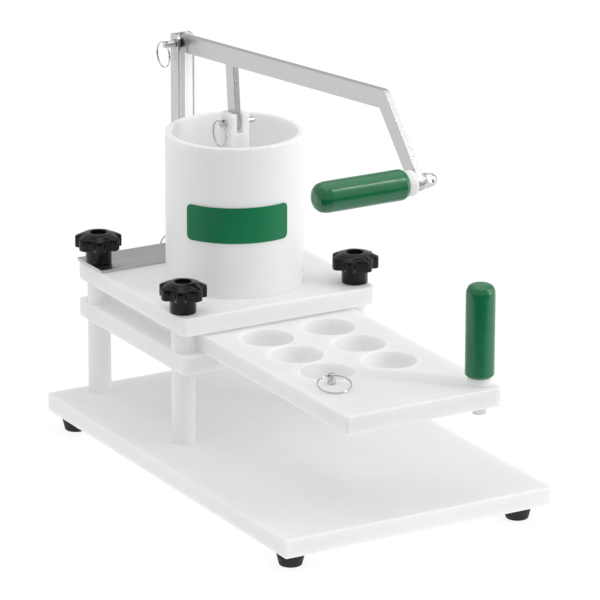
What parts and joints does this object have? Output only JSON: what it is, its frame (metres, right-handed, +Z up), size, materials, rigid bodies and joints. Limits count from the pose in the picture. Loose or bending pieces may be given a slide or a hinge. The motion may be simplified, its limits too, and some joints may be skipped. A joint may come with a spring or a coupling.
{
  "type": "portion forming press",
  "caption": "Hand-lever portion press with a round hopper, a swinging plunger and a sliding mould plate with round pockets on a rectangular white base.",
  "frame": {"origin": "centre of the overall bounding box in plan, at the undersides of the feet", "axes": "+X to the right seen from the mould plate end, +Y to the rear where the mast stands, +Z up"},
  "size_m": [0.305, 0.5156, 0.4482],
  "materials": {
    "hdpe": "satin milky white polyethylene, faintly translucent",
    "steel": "brushed stainless bar and channel",
    "bright": "bright turned stainless fasteners and pull pins",
    "black": "glossy black moulded plastic",
    "rubber": "matt black rubber",
    "green": "glossy dipped green vinyl",
    "label": "printed green label with no text"
  },
  "bodies": {
    "frame": {"base_plate": "hdpe", "foot_front_left": "rubber", "foot_front_right": "rubber", "foot_rear_left": "rubber", "foot_rear_right": "rubber", "foot_screw_front_left": "bright", "foot_screw_front_right": "bright", "foot_screw_rear_left": "bright", "foot_screw_rear_right": "bright", "leg_front_left": "hdpe", "leg_front_right": "hdpe", "leg_rear_left": "hdpe", "leg_rear_right": "hdpe", "lower_deck": "hdpe", "spacer_front_left": "hdpe", "spacer_front_right": "hdpe", "spacer_rear_left": "hdpe", "spacer_rear_right": "hdpe", "upper_deck": "hdpe", "hopper": "hdpe", "hopper_label": "label", "tie_rod_front_left": "bright", "tie_rod_front_right": "bright", "tie_rod_rear_left": "bright", "tie_rod_rear_right": "bright", "mast_bracket": "steel", "mast": "steel"},
    "lever_arm": {"lever": "steel", "lever_bush_left": "black", "lever_bush_right": "black", "lever_grip_collar": "hdpe", "lever_grip_washer": "bright", "lever_handle_rod": "bright", "lever_nut_washer": "bright", "lever_cap_nut": "bright"},
    "lever_handle": {"lever_grip": "green"},
    "plunger": {"plunger_disc": "hdpe", "plunger_stem": "hdpe", "plunger_screw": "bright"},
    "plunger_pull_pin": {"plunger_pin": "bright"},
    "plunger_pull_ring": {"plunger_pin_ring": "bright"},
    "fulcrum_pull_pin": {"fulcrum_pin": "bright"},
    "fulcrum_pull_ring": {"fulcrum_pin_ring": "bright"},
    "mast_pull_pin": {"mast_pin": "bright"},
    "mast_pull_ring": {"mast_pin_ring": "bright"},
    "slide": {"mould_plate": "hdpe", "slide_grip_collar": "hdpe", "slide_grip_washer": "bright", "slide_grip_bolt": "bright"},
    "slide_handle": {"slide_grip": "green"},
    "stop_pull_pin": {"stop_pin": "bright"},
    "stop_pull_ring": {"stop_pin_ring": "bright"},
    "knob_front_left": {"star_knob_front_left": "black"},
    "knob_front_right": {"star_knob_front_right": "black"},
    "knob_rear_left": {"star_knob_rear_left": "black"},
    "knob_rear_right": {"star_knob_rear_right": "black"}
  },
  "joints": [
    {"name": "lever_hinge", "type": "hinge", "parent": "frame", "child": "lever_arm", "pos_m": [0, 0.22775, 0.401], "axis": [1, 0, 0], "range_deg": [-6, 20]},
    {"name": "lever_grip_spin", "type": "hinge", "parent": "lever_arm", "child": "lever_handle", "pos_m": [0, -0.23725, 0.371], "axis": [1, 0, 0], "continuous": true},
    {"name": "plunger_swing", "type": "hinge", "parent": "lever_arm", "child": "plunger", "pos_m": [0, 0.11825, 0.3425], "axis": [1, 0, 0], "range_deg": [-32, 9.6]},
    {"name": "plunger_pin_pull", "type": "slide", "parent": "plunger", "child": "plunger_pull_pin", "axis": [-1, 0, 0], "range_m": [0, 0.029]},
    {"name": "plunger_ring_swing", "type": "hinge", "parent": "plunger_pull_pin", "child": "plunger_pull_ring", "pos_m": [-0.0146, 0.11825, 0.3425], "axis": [0, 0.9063, 0.4226], "range_deg": [-4, 12]},
    {"name": "fulcrum_pin_pull", "type": "slide", "parent": "frame", "child": "fulcrum_pull_pin", "axis": [-1, 0, 0], "range_m": [0, 0.036]},
    {"name": "fulcrum_ring_swing", "type": "hinge", "parent": "fulcrum_pull_pin", "child": "fulcrum_pull_ring", "pos_m": [-0.02, 0.22775, 0.401], "axis": [0, 0.9063, 0.4226], "range_deg": [-12, 85]},
    {"name": "mast_pin_pull", "type": "slide", "parent": "frame", "child": "mast_pull_pin", "axis": [0, 1, 0], "range_m": [0, 0.036]},
    {"name": "mast_ring_swing", "type": "hinge", "parent": "mast_pull_pin", "child": "mast_pull_ring", "pos_m": [0, 0.25525, 0.187], "axis": [1, 0, 0], "range_deg": [0, 85]},
    {"name": "mould_slide", "type": "slide", "parent": "frame", "child": "slide", "axis": [0, 1, 0], "range_m": [0, 0.181]},
    {"name": "slide_grip_spin", "type": "hinge", "parent": "slide", "child": "slide_handle", "pos_m": [0.074, -0.23775, 0.1543], "axis": [0, 0, 1], "continuous": true},
    {"name": "stop_pin_lift", "type": "slide", "parent": "slide", "child": "stop_pull_pin", "axis": [0, 0, 1], "range_m": [0, 0.022]},
    {"name": "stop_ring_swing", "type": "hinge", "parent": "stop_pull_pin", "child": "stop_pull_ring", "pos_m": [-0.0507, -0.16475, 0.1625], "axis": [-0.936, 0.352, 0], "range_deg": [0, 95]},
    {"name": "knob_turn_front_left", "type": "hinge", "parent": "frame", "child": "knob_front_left", "pos_m": [-0.1005, 0.04625, 0.179], "axis": [0, 0, 1], "continuous": true},
    {"name": "knob_turn_front_right", "type": "hinge", "parent": "frame", "child": "knob_front_right", "pos_m": [0.1005, 0.04625, 0.179], "axis": [0, 0, 1], "continuous": true},
    {"name": "knob_turn_rear_left", "type": "hinge", "parent": "frame", "child": "knob_rear_left", "pos_m": [-0.1005, 0.22825, 0.179], "axis": [0, 0, 1], "continuous": true},
    {"name": "knob_turn_rear_right", "type": "hinge", "parent": "frame", "child": "knob_rear_right", "pos_m": [0.1005, 0.22825, 0.179], "axis": [0, 0, 1], "continuous": true}
  ],
  "couplings": [
    {"joint": "plunger_swing", "follows": "lever_hinge", "ratio": -1.6}
  ]
}
